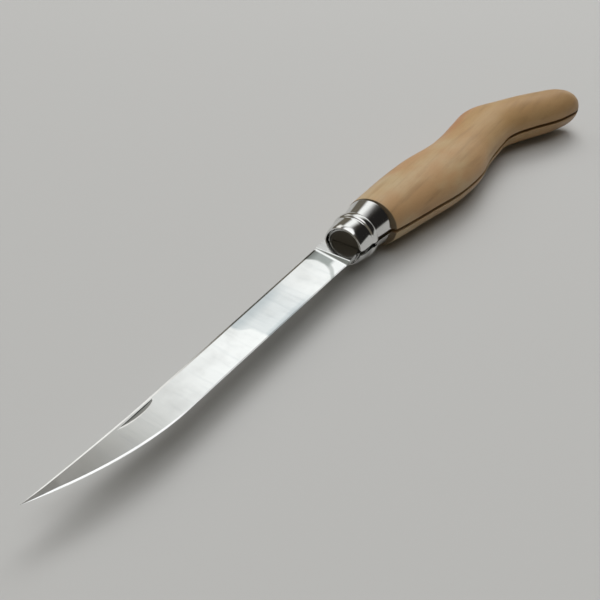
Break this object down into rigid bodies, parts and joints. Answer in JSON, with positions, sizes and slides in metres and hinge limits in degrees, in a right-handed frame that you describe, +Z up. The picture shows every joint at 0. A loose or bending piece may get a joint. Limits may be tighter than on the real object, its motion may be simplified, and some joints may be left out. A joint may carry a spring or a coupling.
{
  "type": "folding ham knife",
  "caption": "Slim folding ham knife with a bent, slotted wooden handle, a long pointed blade and a turning lock ring on a steel collar.",
  "frame": {"origin": "middle of the underside of the knife's box, with the knife lying on its side and the blade open", "axes": "+X along the knife from the blade's tip to the handle's butt, +Y from the cutting edge to the spine, +Z up, square to the blade's flat"},
  "size_m": [0.3346, 0.0508, 0.0243],
  "materials": {
    "handle_wood": "satin, thinly varnished pale fruitwood",
    "collar_steel": "bright polished stainless steel",
    "ring_steel": "bright polished stainless steel",
    "blade_steel": "polished stainless steel with faint fine marks across the blade",
    "rivet_steel": "plain steel"
  },
  "bodies": {
    "handle_body": {"handle": "handle_wood", "fixed_collar": "collar_steel", "pivot_rivet": "rivet_steel"},
    "blade_body": {"blade": "blade_steel"},
    "ring_body": {"lock_ring": "ring_steel"}
  },
  "joints": [
    {"name": "blade_fold", "type": "hinge", "parent": "handle_body", "child": "blade_body", "pos_m": [-0.01032, 0.01425, 0.01217], "axis": [0, 0, 1], "range_deg": [0, 172]},
    {"name": "lock_ring_turn", "type": "hinge", "parent": "handle_body", "child": "ring_body", "pos_m": [-0.01732, 0.01425, 0.01217], "axis": [1, 0, 0], "range_deg": [0, 75]}
  ]
}
